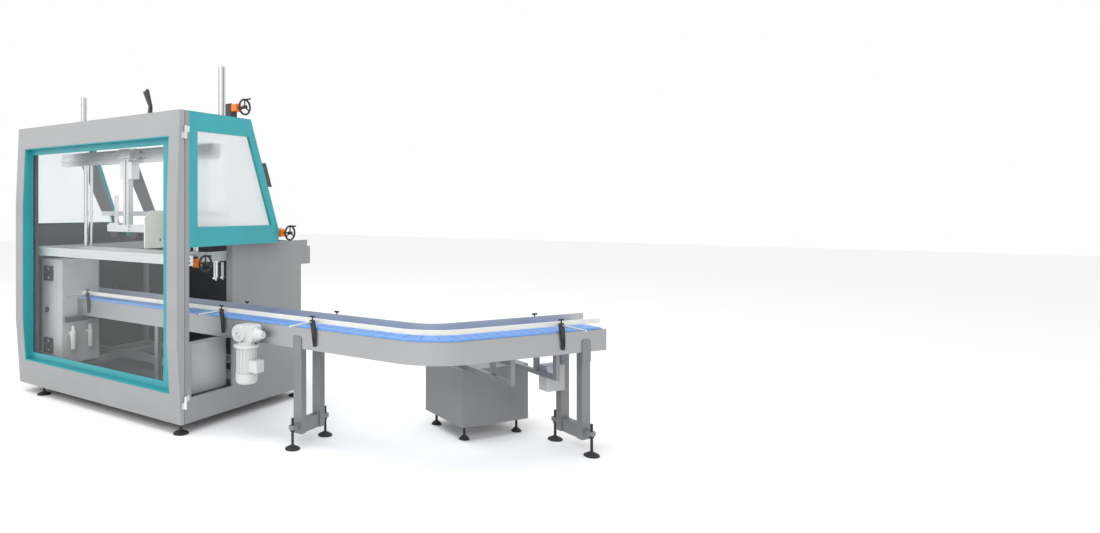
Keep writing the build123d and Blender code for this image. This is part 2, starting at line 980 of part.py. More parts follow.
# Carriage on the beam: mounting plate, guide cheeks for the mast and the valve block
with BuildPart() as mast_carriage:
    with BuildSketch(Plane.XY.offset(upper_beam_bottom - carriage_drop)):
        with Locations((mast_x, beam_face - carriage_depth / 2)):
            Rectangle(carriage_width, carriage_depth)
    extrude(amount=carriage_drop + upper_beam_height)
    with BuildSketch(Plane.XY.offset(upper_beam_bottom - carriage_drop)):
        for side in (-1, 1):
            cheek_x = mast_x + side * (mast_width / 4 + running_gap / 2 + carriage_width / 4)
            with Locations((cheek_x, mast_back - mast_depth / 2)):
                Rectangle(
                    carriage_width / 2 - mast_width / 2 - running_gap,
                    mast_depth + 2 * running_gap,
                )
    extrude(amount=carriage_drop)
    with BuildSketch(Plane.XY.offset(mast_top + valve_block_gap)):
        with Locations((mast_x, beam_face - carriage_depth - valve_block_depth / 2)):
            Rectangle(valve_block_width, valve_block_depth)
    extrude(amount=valve_block_height)
save(mast_carriage, "mast_carriage")

# Forming mast that slides down through the carriage
with BuildPart() as forming_mast:
    with BuildSketch(Plane.XY.offset(mast_bottom)):
        with Locations((mast_x, head_y)):
            Rectangle(mast_width, mast_depth)
        with Locations((mast_x, mast_back - mast_depth + slot_depth / 2)):
            Rectangle(slot_width, slot_depth, mode=Mode.SUBTRACT)
    extrude(amount=mast_top - mast_bottom)
save(forming_mast, "forming_mast")

# Forming head: slotted bar under the mast with a step at the left and a slotted upright
head_left = mast_x - head_left_reach
head_right = mast_x + head_right_reach
head_bottom = mast_bottom - head_height
upright_x = head_left - upright_width / 2
with BuildPart() as forming_head:
    with BuildSketch(Plane.XY.offset(head_bottom)):
        with Locations(((head_left + head_right) / 2, head_y)):
            Rectangle(head_right - head_left, head_depth)
    extrude(amount=head_height)
    with BuildSketch(Plane.YZ.offset(mast_x + mast_width)):
        for height in (head_height / 4, 3 * head_height / 4):
            with Locations((head_y - head_depth / 2 + slot_depth / 2, head_bottom + height)):
                Rectangle(slot_depth, slot_width, mode=Mode.ADD)
    extrude(amount=head_right_reach - mast_width, mode=Mode.SUBTRACT)
    with BuildSketch(Plane.XY.offset(mast_bottom)):
        with Locations(((head_left + mast_x - mast_width) / 2, head_y)):
            Rectangle(mast_x - mast_width - head_left, head_depth - 2 * head_step)
    extrude(amount=head_step)
    with BuildSketch(Plane.XY.offset(head_bottom)):
        with Locations((upright_x, head_y + head_depth / 2 - upright_thickness / 2)):
            Rectangle(upright_width, upright_thickness)
    extrude(amount=upright_height)
    with BuildSketch(Plane.XZ.offset(-head_y)):
        with Locations((upright_x, head_bottom + head_height + upright_height / 2)):
            with GridLocations(upright_width, 2 * upright_thickness, 1, 10):
                Rectangle(upright_width / 2, upright_thickness)
    extrude(amount=-head_depth, mode=Mode.SUBTRACT)
save(forming_head, "forming_head")

# White side plate at the right end of the head, with its bore
with BuildPart() as head_side_plate:
    with BuildSketch(Plane.YZ.offset(head_right)):
        with BuildLine():
            Polyline(
                (side_plate_front, side_plate_bottom),
                (side_plate_rear, side_plate_bottom),
                (side_plate_rear, side_plate_top),
                (side_plate_front + side_plate_corner, side_plate_top),
                (side_plate_front, side_plate_top - side_plate_corner),
                close=True,
            )
        make_face()
        with Locations((head_y, side_plate_bottom + side_plate_corner)):
            Circle(side_plate_hole, mode=Mode.SUBTRACT)
    extrude(amount=side_plate_thickness)
save(head_side_plate, "head_side_plate")

# Black grippers under the head, each with two suction cups
with BuildPart() as head_grippers:
    for gripper_x in gripper_places:
        with BuildSketch(Plane.XY.offset(head_bottom)):
            with Locations((gripper_x, head_y)):
                Rectangle(gripper_width, gripper_depth)
        extrude(amount=-gripper_height)
        with BuildSketch(Plane.XY.offset(head_bottom - gripper_height)):
            with Locations((gripper_x, head_y)):
                with GridLocations(gripper_width / 2, 1, 2, 1):
                    Circle(cup_neck)
        extrude(amount=-cup_height, taper=-cup_taper)
save(head_grippers, "head_grippers")

# Electrical box at the left, with fans and the main switch
electric_mid_x = electric_left + electric_width / 2
with BuildPart() as electrical_box:
    with BuildSketch(Plane.XY.offset(base_top)):
        with Locations((electric_mid_x, electric_front + electric_depth / 2)):
            Rectangle(electric_width, electric_depth)
    extrude(amount=electric_height)
    chamfer(electrical_box.edges().filter_by(Axis.Z), length=box_edge)
save(electrical_box, "electrical_box")

fan_x = electric_left + fan_inset
with BuildPart() as box_fans:
    for height in fan_heights:
        with BuildSketch(Plane.XZ.offset(-electric_front)):
            with Locations((fan_x, height)):
                RectangleRounded(fan_size, fan_size, fan_corner)
                Circle(fan_bore, mode=Mode.SUBTRACT)
                Circle(fan_bore * 0.4)
                for angle in (45, 135):
                    Rectangle(2 * fan_bore + fan_spoke, fan_spoke, rotation=angle)
        extrude(amount=fan_depth)
save(box_fans, "box_fans")

switch_x = electric_left + switch_inset
switch_face = Plane.XZ.offset(fit_gap - electric_front)
with BuildPart() as main_switch:
    with BuildSketch(switch_face):
        with Locations((switch_x, switch_height)):
            Circle(switch_radius)
    extrude(amount=switch_depth)
    with BuildSketch(switch_face.offset(switch_depth)):
        with Locations((switch_x, switch_height)):
            RectangleRounded(0.6 * switch_radius, 2.4 * switch_radius, 0.2 * switch_radius)
    extrude(amount=switch_lever)
save(main_switch, "main_switch")


def bowl_profile(radius):
    """Half section of an air unit: domed bowl, body, cap and knob."""
    with BuildSketch(Plane.XZ) as half:
        with BuildLine():
            bowl = Spline((0, 0), (0.7 * radius, 0.25 * radius), (0.8 * radius, radius))
            Polyline(
                bowl @ 1,
                (radius, unit_bowl_height),
                (radius, 1.35 * unit_bowl_height),
                (0.7 * radius, 1.4 * unit_bowl_height),
                (0.7 * radius, 1.75 * unit_bowl_height),
                (0, 1.75 * unit_bowl_height),
                bowl @ 0,
            )
        make_face()
    return half.sketch


# Air units on the side of the electrical box, each with its mounting arm
with BuildPart() as air_units:
    for place_y in (unit_place, regulator_place):
        with Locations((electric_right + 2 * unit_radius, place_y, unit_bowl_bottom)):
            with BuildPart(mode=Mode.PRIVATE) as unit:
                add(bowl_profile(unit_radius))
                revolve(axis=Axis.Z)
            add(unit.part)
        with BuildSketch(Plane.YZ.offset(electric_right)):
            with Locations((place_y, unit_bowl_bottom + 1.2 * unit_bowl_height)):
                Rectangle(unit_radius, unit_radius)
        extrude(amount=2 * unit_radius)
save(air_units, "air_units")

# Lift cylinders under a plate that reaches in from the right side rail
cylinder_x = right_rail_x - cylinder_reach
cylinder_cap_size = 2 * max(cylinder_radii)
plate_ends = (cylinder_places[0] - cylinder_cap_size / 2, cylinder_places[1] + cylinder_cap_size / 2)
with BuildPart() as exit_cylinders:
    with BuildSketch(Plane.XY.offset(mid_height - cylinder_cap)):
        with Locations(((cylinder_x + right_rail_x) / 2, sum(plate_ends) / 2)):
            Rectangle(cylinder_reach + cylinder_cap_size, plate_ends[1] - plate_ends[0])
    extrude(amount=cylinder_cap)
    for place_y, radius in zip(cylinder_places, cylinder_radii):
        with BuildSketch(Plane.XY.offset(mid_height - cylinder_cap)):
            with Locations((cylinder_x, place_y)):
                Circle(radius)
        extrude(amount=-cylinder_length)
        with BuildSketch(Plane.XY.offset(mid_height - cylinder_cap - cylinder_length)):
            with Locations((cylinder_x, place_y)):
                RectangleRounded(2 * radius, 2 * radius, radius / 3)
        extrude(amount=-cylinder_cap)
        with BuildSketch(Plane.XY.offset(mid_height - 2 * cylinder_cap - cylinder_length)):
            with Locations((cylinder_x, place_y)):
                Circle(radius / 3)
        extrude(amount=-cylinder_foot)
save(exit_cylinders, "exit_cylinders")

# Slotted posts on the roof
with BuildPart() as roof_posts:
    for post_x, post_y, height in (
        (left_post_x, left_post_y, left_post_height),
        (right_post_x, right_post_y, right_post_height),
    ):
        with BuildSketch(Plane.XY.offset(body_height)):
            with Locations((post_x, post_y)):
                Rectangle(roof_post, roof_post)
                with PolarLocations((roof_post - slot_width) / 2, 4):
                    Rectangle(slot_width, slot_width, mode=Mode.SUBTRACT)
        extrude(amount=height)
save(roof_posts, "roof_posts")

# Sloped rod with its tapered bracket
rod_direction = Vector(rod_lean_x + rod_bracket_lean, rod_top_height - rod_bracket_height).normalized()
rod_square = Vector(rod_direction.Y, -rod_direction.X)
rod_base = Vector(rod_foot_x - rod_bracket_lean, body_height + rod_bracket_height)
with BuildPart() as rod_bracket:
    with BuildSketch(Plane.XZ.offset(-sloped_rod_y - rod_bracket_thickness / 2)):
        with BuildLine():
            Polyline(
                (rod_foot_x - rod_bracket_thickness, body_height),
                (rod_foot_x, body_height + rod_bracket_waist),
                rod_base - 2 * sloped_rod_radius * rod_square,
                rod_base + 4 * sloped_rod_radius * rod_square,
                (rod_foot_x + rod_bracket_thickness, body_height + rod_bracket_waist),
                (rod_foot_x + rod_bracket_thickness, body_height),
                close=True,
            )
        make_face()
    extrude(amount=rod_bracket_thickness)
save(rod_bracket, "rod_bracket")

rod_length = (rod_top_height - rod_bracket_height) / rod_direction.Y
with BuildPart() as sloped_rod:
    with BuildSketch(
        Plane(
            origin=(rod_base.X, sloped_rod_y, rod_base.Y),
            x_dir=(0, 1, 0),
            z_dir=(rod_direction.X, 0, rod_direction.Y),
        )
    ):
        Circle(sloped_rod_radius)
    extrude(amount=rod_length)
save(sloped_rod, "sloped_rod")


def spindle_plane(x, y, z):
    """Plane across a handwheel spindle that points to the right side."""
    return Plane(origin=(x, y, z), x_dir=(0, 1, 0), z_dir=(1, 0, 0))


def handwheel(plane):
    """Spoked handwheel with its spindle and crank handle."""
    rim_height = spindle_length + wheel_hub_length / 2
    with BuildPart() as wheel:
        with BuildSketch(plane):
            Circle(spindle_radius)
        extrude(amount=spindle_length)
        with BuildSketch(plane.offset(spindle_length)):
            Circle(wheel_hub_radius)
        extrude(amount=wheel_hub_length)
        with BuildSketch(plane.offset(rim_height - wheel_spoke / 2)):
            for angle in (90, 210, 330):
                with Locations(
                    (
                        (wheel_radius - wheel_rim) / 2 * cos(radians(angle)),
                        (wheel_radius - wheel_rim) / 2 * sin(radians(angle)),
                    )
                ):
                    Rectangle(wheel_radius - wheel_rim, wheel_spoke, rotation=angle)
        extrude(amount=wheel_spoke)
        with BuildSketch(
            Plane(
                origin=plane.origin + rim_height * plane.z_dir,
                x_dir=plane.x_dir,
                z_dir=plane.y_dir,
            )
        ):
            with Locations((wheel_radius - wheel_rim, 0)):
                RegularPolygon(wheel_rim, rim_sides)
        revolve(axis=Axis(plane.origin, plane.z_dir))
        with BuildSketch(plane.offset(rim_height)):
            with Locations((0, wheel_radius - wheel_rim)):
                Circle(wheel_handle_radius)
        extrude(amount=wheel_handle_length)
    return wheel


# Adjusters: gear housings, position indicators and handwheels
with BuildPart() as gear_housings:
    with BuildSketch(Plane.YZ.offset(roof_gear_x)):
        with Locations((roof_gear_y, (body_height + roof_gear_z + gear_size / 2) / 2)):
            Rectangle(gear_size, roof_gear_z + gear_size / 2 - body_height)
    extrude(amount=gear_width)
    with BuildSketch(Plane.YZ.offset(hood_inner - gear_width)):
        with Locations(((hood_back + rear_gear_y + gear_size / 2) / 2, rear_gear_z)):
            Rectangle(rear_gear_y + gear_size / 2 - hood_back, gear_size)
    extrude(amount=gear_width / 2)
    with BuildSketch(Plane.YZ.offset(right_rail_x + mid_rail_width)):
        with Locations((side_gear_y, side_gear_z + side_gear_lift)):
            Rectangle(gear_size, gear_size)
    extrude(amount=side_gear_plate)
save(gear_housings, "gear_housings")

indicator_starts = (
    (roof_gear_x + gear_width, roof_gear_y, roof_gear_z),
    (hood_inner - gear_width / 2, rear_gear_y, rear_gear_z),
    (right_rail_x + mid_rail_width + side_gear_plate, side_gear_y, side_gear_z),
)
with BuildPart() as position_indicators:
    for x, y, z in indicator_starts:
        with BuildSketch(spindle_plane(x, y, z)):
            RectangleRounded(indicator_size, indicator_size, 10)
        extrude(amount=indicator_width)
save(position_indicators, "position_indicators")

wheel_names = ("roof_handwheel", "rear_handwheel", "side_handwheel")
for name, (x, y, z) in zip(wheel_names, indicator_starts):
    save(handwheel(spindle_plane(x + indicator_width + spindle_gap, y, z)), name)

# Conveyor side plates with a folded lower lip
with BuildPart() as conveyor_front_plate:
    with BuildSketch(Plane.XY.offset(side_bottom)):
        add(lane(0, side_thickness, conveyor_start, second_run))
    extrude(amount=side_top - side_bottom)
    with BuildSketch(Plane.XY.offset(side_bottom)):
        add(lane(0, side_lip, conveyor_start, second_run))
    extrude(amount=side_thickness)
save(conveyor_front_plate, "conveyor_front_plate")

with BuildPart() as conveyor_rear_plate:
    with BuildSketch(Plane.XY.offset(side_bottom)):
        add(lane(conveyor_width - side_thickness, conveyor_width, conveyor_start, second_run))
    extrude(amount=side_top - side_bottom)
    with BuildSketch(Plane.XY.offset(side_bottom)):
        add(lane(conveyor_width - side_lip, conveyor_width, conveyor_start, second_run))
    extrude(amount=side_thickness)
save(conveyor_rear_plate, "conveyor_rear_plate")

# Slide bed between the side plates
belt_near = side_thickness + belt_overhang
belt_far = conveyor_width - side_thickness - belt_overhang
end_gap = 2 * loop_radius
with BuildPart() as conveyor_bed:
    with BuildSketch(Plane.XY.offset(belt_top - belt_thickness - bed_height)):
        add(
            lane(
                side_thickness + fit_gap,
                conveyor_width - side_thickness - fit_gap,
                conveyor_start + end_gap,
                second_run - end_gap,
            )
        )
    extrude(amount=bed_height)
save(conveyor_bed, "conveyor_bed")

# Plate chain: one closed loop with a groove at each link
loop_start = conveyor_start + loop_radius + wheel_end_gap
loop_run = second_run - loop_radius - wheel_end_gap
loop_height = belt_top - loop_radius
last_wheel = bend_end + loop_run * heading
with BuildPart() as plate_chain:
    with BuildSketch(Plane.XY.offset(belt_top - belt_thickness)):
        add(lane(belt_near, belt_far, loop_start, loop_run))
    extrude(amount=belt_thickness)
    with BuildSketch(Plane.XY.offset(belt_top - loop_depth)):
        add(lane(belt_near, belt_far, loop_start, loop_run))
    extrude(amount=belt_thickness)
    with BuildSketch(
        Plane(
            origin=(loop_start, conveyor_front + belt_far, loop_height),
            x_dir=(1, 0, 0),
            z_dir=(0, -1, 0),
        )
    ):
        Circle(loop_radius)
        Circle(loop_radius - belt_thickness, mode=Mode.SUBTRACT)
        with Locations((loop_radius, 0)):
            Rectangle(2 * loop_radius, 2 * loop_radius, mode=Mode.SUBTRACT)
    extrude(amount=belt_far - belt_near)
    turn = last_wheel + belt_near * inward
    with BuildSketch(
        Plane(
            origin=(turn.X, turn.Y, loop_height),
            x_dir=(heading.X, heading.Y, 0),
            z_dir=(inward.X, inward.Y, 0),
        )
    ):
        Circle(loop_radius)
        Circle(loop_radius - belt_thickness, mode=Mode.SUBTRACT)
        with Locations((-loop_radius, 0)):
            Rectangle(2 * loop_radius, 2 * loop_radius, mode=Mode.SUBTRACT)
    extrude(amount=belt_far - belt_near)
    belt_middle = conveyor_front + conveyor_width / 2
    first_links = int((curve_x - loop_start) / link_pitch)
    with BuildSketch(Plane.XY.offset(belt_top)):
        for link in range(first_links):
            with Locations((loop_start + (link + 0.5) * link_pitch, belt_middle)):
                Rectangle(link_groove, conveyor_width)
    extrude(amount=-link_groove_depth, mode=Mode.SUBTRACT)
    middle_radius = bend_radius - conveyor_width / 2
    bend_links = int(radians(bend_angle) * middle_radius / link_pitch)
    with BuildSketch(Plane.XY.offset(belt_top)):
        for link in range(bend_links):
            angle = -90 + bend_angle * (link + 0.5) / bend_links
            with Locations(
                (
                    curve_x + middle_radius * cos(radians(angle)),
                    curve_y + middle_radius * sin(radians(angle)),
                )
            ):
                Rectangle(conveyor_width, link_groove, rotation=angle)
    extrude(amount=-link_groove_depth, mode=Mode.SUBTRACT)
    second_links = int(loop_run / link_pitch)
    with BuildSketch(Plane.XY.offset(belt_top)):
        for link in range(second_links):
            spot = bend_end + (link + 0.5) * link_pitch * heading + conveyor_width / 2 * inward
            with Locations((spot.X, spot.Y)):
                Rectangle(link_groove, conveyor_width, rotation=bend_angle)
    extrude(amount=-link_groove_depth, mode=Mode.SUBTRACT)
save(plate_chain, "plate_chain")

# End wheels of the chain with their shafts
second_wheel = last_wheel + side_thickness * inward
with BuildPart() as chain_wheels:
    for wheel_place, along, across in (
        ((loop_start, conveyor_back - side_thickness), (1, 0, 0), (0, -1, 0)),
        ((second_wheel.X, second_wheel.Y), (heading.X, heading.Y, 0), (inward.X, inward.Y, 0)),
    ):
        wheel_plane = Plane(origin=(*wheel_place, loop_height), x_dir=along, z_dir=across)
        with BuildSketch(wheel_plane):
            Circle(wheel_shaft_radius)
        extrude(amount=conveyor_width - 2 * side_thickness)
        with BuildSketch(wheel_plane.offset(belt_overhang)):
            Circle(loop_radius - belt_thickness - fit_gap)
        extrude(amount=conveyor_width - 2 * side_thickness - 2 * belt_overhang)
save(chain_wheels, "chain_wheels")

# Guide rails on both sides of the belt
rail_start = conveyor_start + rail_start_inset
rail_run = second_run - rail_end_inset
with BuildPart() as front_guide_rail:
    with BuildSketch(Plane.XY.offset(rail_bottom)):
        add(lane(front_rail_inset, front_rail_inset + rail_thickness, rail_start, rail_run))
    extrude(amount=rail_top - rail_bottom)
save(front_guide_rail, "front_guide_rail")

with BuildPart() as rear_guide_rail:
    with BuildSketch(Plane.XY.offset(rear_rail_bottom)):
        add(lane(rear_rail_inset, rear_rail_inset + rail_thickness, rail_start, rail_run))
    extrude(amount=rear_rail_top - rear_rail_bottom)
save(rear_guide_rail, "rear_guide_rail")


def front_station(x):
    """Plane on the first straight: x along it, y inwards, at floor height."""
    return Plane(origin=(x, conveyor_front, 0), x_dir=(1, 0, 0), z_dir=(0, 0, 1))


bracket_stations = [front_station(x) for x in bracket_places]
bracket_stations.append(run_plane(bracket_run, 0, 0))
rod_height = (rail_top + rail_bottom) / 2


def turned(station, along, across, height):
    """Plane across the belt at a station, its z pointing inwards."""
    origin = station.origin + along * station.x_dir + across * station.y_dir
    return Plane(
        origin=(origin.X, origin.Y, height), x_dir=station.x_dir, z_dir=station.y_dir
    )


def arm(station, across):
    """Curved black bracket arm with its clamp, outside a side plate."""
    face = turned(station, 0, across, rod_height)
    half = bracket_width / 2
    drop = rod_height - bracket_foot
    knob = Plane(
        origin=turned(station, 0, across + bracket_thickness / 2, rod_height).origin,
        x_dir=station.x_dir,
        z_dir=(0, 0, 1),
    )
    with BuildPart() as piece:
        with BuildSketch(face):
            with BuildLine():
                foot_line = Line((bracket_lean - half / 2, drop), (bracket_lean + half / 2, drop))
                ThreePointArc(foot_line @ 1, (bracket_lean + half / 1.6, drop / 2), (half, 0))
                Line((half, 0), (-half, 0))
                ThreePointArc((-half, 0), (-2, drop / 2), foot_line @ 0)
            make_face()
            Rectangle(bracket_width, clamp_size)
            with Locations((bracket_lean - 3, 0.7 * drop)):
                SlotOverall(bracket_slot, bracket_slot_width, rotation=80, mode=Mode.SUBTRACT)
        extrude(amount=bracket_thickness)
        with BuildSketch(knob.offset(clamp_size / 2)):
            Circle(knob_stem_radius)
        extrude(amount=knob_stem)
        with BuildSketch(knob.offset(clamp_size / 2 + knob_stem)):
            RectangleRounded(knob_length, knob_width, knob_width / 3)
        extrude(amount=knob_height)
        with BuildSketch(face):
            Circle(cross_rod_radius + fit_gap)
        extrude(amount=bracket_thickness, mode=Mode.SUBTRACT)
    return piece.part


# Black bracket arms outside both side plates
with BuildPart() as guide_brackets:
    for station in bracket_stations:
        add(arm(station, -bracket_thickness))
        add(arm(station, conveyor_width))
save(guide_brackets, "guide_brackets")

# Polished cross rods from the clamps to the guide rails
with BuildPart() as guide_cross_rods:
    for station in bracket_stations:
        with BuildSketch(turned(station, 0, -rod_outreach, rod_height)):
            Circle(cross_rod_radius)
        extrude(amount=rod_outreach + front_rail_inset)
        with BuildSketch(turned(station, 0, rear_rail_inset + rail_thickness, rod_height)):
            Circle(cross_rod_radius)
        extrude(amount=conveyor_width - rear_rail_inset - rail_thickness + bracket_thickness + rod_tail)
save(guide_cross_rods, "guide_cross_rods")


def floor_patch(station, along, across, height):
    """Level plane at a place beside a station."""
    origin = station.origin + along * station.x_dir + across * station.y_dir
    return Plane(origin=(origin.X, origin.Y, height), x_dir=station.x_dir, z_dir=(0, 0, 1))


def stand(station):
    """H shaped stand under the side plates, with head plates and foot brackets."""
    front_post = stand_post_depth / 2
    rear_post = conveyor_width - stand_post_depth / 2
    middle = conveyor_width / 2
    half = stand_post_width / 2
    foot_length = stand_foot_reach + stand_foot_width / 2
    with BuildPart() as piece:
        with BuildSketch(floor_patch(station, 0, 0, stand_bar_bottom)):
            with Locations((0, front_post), (0, rear_post)):
                Rectangle(stand_post_width, stand_post_depth)
        extrude(amount=side_bottom - stand_bar_bottom)
        with BuildSketch(floor_patch(station, 0, 0, stand_bar_bottom)):
            with Locations((0, middle)):
                Rectangle(stand_post_width * 0.7, conveyor_width - 2 * stand_post_depth)
        extrude(amount=stand_bar_height)
        for across in (-stand_head_thickness, conveyor_width):
            with BuildSketch(turned(station, 0, across, side_bottom)):
                with BuildLine():
                    Polyline(
                        (-half, stand_head_drop),
                        (-half, -stand_head_height),
                        (-half + stand_head_corner, -stand_head_height - stand_head_corner),
                        (half - stand_head_corner, -stand_head_height - stand_head_corner),
                        (half, -stand_head_height),
                        (half, stand_head_drop),
                        close=True,
                    )
                make_face()
            extrude(amount=stand_head_thickness)
        for across in (-foot_length / 2, conveyor_width + foot_length / 2):
            with BuildSketch(floor_patch(station, 0, across, stand_bar_bottom + stand_foot_lift)):
                Rectangle(stand_foot_width, foot_length)
            extrude(amount=stand_foot_bracket)
        for across in (-stand_foot_reach, conveyor_width + stand_foot_reach):
            with BuildSketch(floor_patch(station, 0, across, stand_bar_bottom)):
                Circle(stud_radius + fit_gap)
            extrude(amount=stand_stud_top - stand_bar_bottom, mode=Mode.SUBTRACT)
    return piece


# Two stands under the conveyor, and the posts and end bracket that carry it inside the machine
with BuildPart() as conveyor_stands:
    add(stand(front_station(stand_one_x)).part)
    add(stand(run_plane(stand_two_run, 0, 0)).part)
    with BuildSketch(Plane.XY.offset(base_top)):
        for post_x in cross_member_places[1:]:
            with Locations(
                (post_x, conveyor_front + inner_post_inset),
                (post_x, conveyor_back - inner_post_inset),
            ):
                Rectangle(inner_post, inner_post)
    extrude(amount=side_bottom - base_top)
    with BuildSketch(Plane.XZ.offset(-conveyor_back)):
        with BuildLine():
            Polyline(
                (electric_right, side_bottom),
                (electric_right + end_bracket_width, side_bottom),
                (electric_right + end_bracket_width, side_bottom - end_bracket_thickness),
                (electric_right + end_bracket_thickness, side_bottom - end_bracket_thickness),
                (electric_right + end_bracket_thickness, side_bottom - end_bracket_drop),
                (electric_right, side_bottom - end_bracket_drop),
                close=True,
            )
        make_face()
    extrude(amount=conveyor_back - end_bracket_front)
save(conveyor_stands, "conveyor_stands")

# Worm gearbox on the front plate, with its hollow shaft and the cone towards the right
motor_x = gear_x
motor_y = conveyor_front - gear_reach + gear_neck_height
gear_bottom = gear_z - gear_box_height / 2
with BuildPart() as gearbox:
    with BuildSketch(Plane.XZ.offset(-conveyor_front)):
        with Locations((gear_x - gear_box_shift, gear_z)):
            RectangleRounded(gear_box_width, gear_box_height, gear_box_corner)
    extrude(amount=gear_reach)
    with BuildSketch(Plane.XZ.offset(-conveyor_front + gear_reach)):
        with Locations((gear_x - gear_flange_shift, gear_z)):
            Circle(gear_flange_radius)
    extrude(amount=gear_flange_height, taper=12)
    with BuildSketch(Plane.XZ.offset(-conveyor_front + gear_reach + gear_flange_height)):
        with Locations((gear_x - gear_flange_shift, gear_z)):
            Circle(gear_hub_radius)
            Circle(gear_shaft_radius, mode=Mode.SUBTRACT)
    extrude(amount=gear_hub_length)
    with BuildSketch(Plane.YZ.offset(gear_x + gear_cone_start)):
        with Locations((conveyor_front - gear_cone_radius - gear_hub_length, gear_z)):
            Circle(gear_cone_radius)
    extrude(amount=gear_cone_length, taper=16)
    with BuildSketch(Plane.XY.offset(gear_bottom)):
        with Locations((motor_x, motor_y)):
            Circle(gear_neck_radius)
    extrude(amount=-gear_neck_height)
save(gearbox, "gearbox")

# Vertical motor with cooling fins, fan hood and its terminal box
motor_top = gear_bottom - gear_neck_height
motor_bottom = motor_top - motor_length
hood_top = motor_bottom + motor_hood_height
with BuildPart() as drive_motor:
    with BuildSketch(Plane.XY.offset(motor_top)):
        with Locations((motor_x, motor_y)):
            Circle(motor_flange_radius)
    extrude(amount=-motor_flange_height)
    with BuildSketch(Plane.XY.offset(motor_bottom)):
        with Locations((motor_x, motor_y)):
            Circle(motor_radius)
    extrude(amount=motor_length - motor_flange_height)
    with BuildSketch(Plane.XY.offset(hood_top)):
        with Locations((motor_x, motor_y)):
            with PolarLocations(motor_radius, fin_count, start_angle=180 / fin_count):
                Rectangle(fin_depth, fin_thickness)
    extrude(amount=motor_top - 2 * motor_flange_height - hood_top)
    with BuildSketch(Plane.XY.offset(hood_top)):
        with Locations((motor_x, motor_y)):
            Circle(motor_radius + motor_hood_lap)
    extrude(amount=-motor_hood_height)
    with BuildSketch(Plane.XY.offset(motor_bottom)):
        with Locations((motor_x, motor_y)):
            Circle(motor_radius + motor_hood_lap)
    extrude(amount=-motor_flange_height, taper=38)
    with BuildSketch(Plane.XY.offset(hood_top + motor_flange_height)):
        with Locations((motor_x + motor_radius + terminal_size / 3, motor_y)):
            RectangleRounded(terminal_size, terminal_size, motor_hood_lap)
    extrude(amount=terminal_size)
save(drive_motor, "drive_motor")

# Floor cabinet beside the second straight, on its own feet
with BuildPart() as floor_cabinet:
    cabinet_across = cabinet_offset + cabinet_breadth / 2
    with BuildSketch(run_plane(cabinet_run + cabinet_length / 2, cabinet_across, cabinet_bottom)):
        Rectangle(cabinet_length, cabinet_breadth)
    extrude(amount=cabinet_top - cabinet_bottom)
    chamfer(floor_cabinet.edges().filter_by(Axis.Z), length=box_edge)
save(floor_cabinet, "floor_cabinet")

# Bearers that tie the cabinet to the conveyor's underside
with BuildPart() as cabinet_bearers:
    bearer_end = cabinet_offset + cabinet_breadth - bearer_end_gap
    for place in bearer_places:
        along = cabinet_run + place
        with BuildSketch(run_plane(along, (bearer_inset + bearer_end) / 2, cabinet_top)):
            Rectangle(bearer, bearer_end - bearer_inset)
        extrude(amount=bearer)
        for across in (bearer_inset + bearer / 2, conveyor_width - bearer_inset - bearer / 2):
            with BuildSketch(run_plane(along, across, cabinet_top + bearer)):
                Rectangle(bearer, bearer)
            extrude(amount=side_bottom - cabinet_top - bearer)
save(cabinet_bearers, "cabinet_bearers")

# Small control box on the second stand
control_run = stand_two_run - stand_post_width / 2 - control_width / 2
with BuildPart() as control_box:
    with BuildSketch(run_plane(control_run, conveyor_width - control_depth / 2, control_bottom)):
        Rectangle(control_width, control_depth)
    extrude(amount=control_height)
    chamfer(control_box.edges().filter_by(Axis.Z), length=box_edge)
save(control_box, "control_box")

# Levelling feet under the body, the stands and the floor cabinet
body_feet = [
    (x, y) for x in (0, -foot_spacing_x) for y in (0, back - foot_rear_inset)
]
stand_feet = [
    floor_patch(station, 0, across, 0).origin
    for station in (front_station(stand_one_x), run_plane(stand_two_run, 0, 0))
    for across in (-stand_foot_reach, conveyor_width + stand_foot_reach)
]
floor_cabinet_feet = [
    run_plane(cabinet_run + along, cabinet_offset + across, 0).origin
    for along in (cabinet_foot_inset, cabinet_length - cabinet_foot_inset)
    for across in (cabinet_foot_inset, cabinet_breadth - cabinet_foot_inset)
]


def foot(radius, stud_top):
    """Levelling foot with its stud."""
    with BuildPart() as piece:
        add(foot_profile(radius, stud_top))
        revolve(axis=Axis.Z)
    return piece.part


with BuildPart() as levelling_feet:
    with Locations(*body_feet):
        add(foot(foot_radius, ground_gap))
    for place in stand_feet:
        with Locations((place.X, place.Y)):
            add(foot(stand_foot_radius, stand_stud_top))
        with BuildSketch(Plane.XY.offset(stand_bar_bottom + stand_nut_lift)):
            with Locations((place.X, place.Y)):
                RegularPolygon(foot_nut_radius, 6)
        extrude(amount=foot_nut_height)
    for place in floor_cabinet_feet:
        with Locations((place.X, place.Y)):
            add(foot(cabinet_foot_radius, cabinet_bottom))
save(levelling_feet, "levelling_feet")
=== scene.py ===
# Looks of the case forming machine, in metres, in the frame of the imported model.
from math import radians

import bmesh
import bpy
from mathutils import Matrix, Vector

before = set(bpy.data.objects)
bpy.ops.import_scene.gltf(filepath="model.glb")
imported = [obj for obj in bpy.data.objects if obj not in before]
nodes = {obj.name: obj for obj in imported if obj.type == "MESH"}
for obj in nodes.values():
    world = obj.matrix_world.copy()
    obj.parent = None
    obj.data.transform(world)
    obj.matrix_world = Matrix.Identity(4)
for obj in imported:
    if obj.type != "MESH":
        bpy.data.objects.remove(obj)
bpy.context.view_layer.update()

# Camera at eye height, in front and to the right
camera_place = (3.893, -3.292, 1.6)
camera_turn = 36.1
camera_lens = 22.84
camera_shift = (0.181, -0.0532)


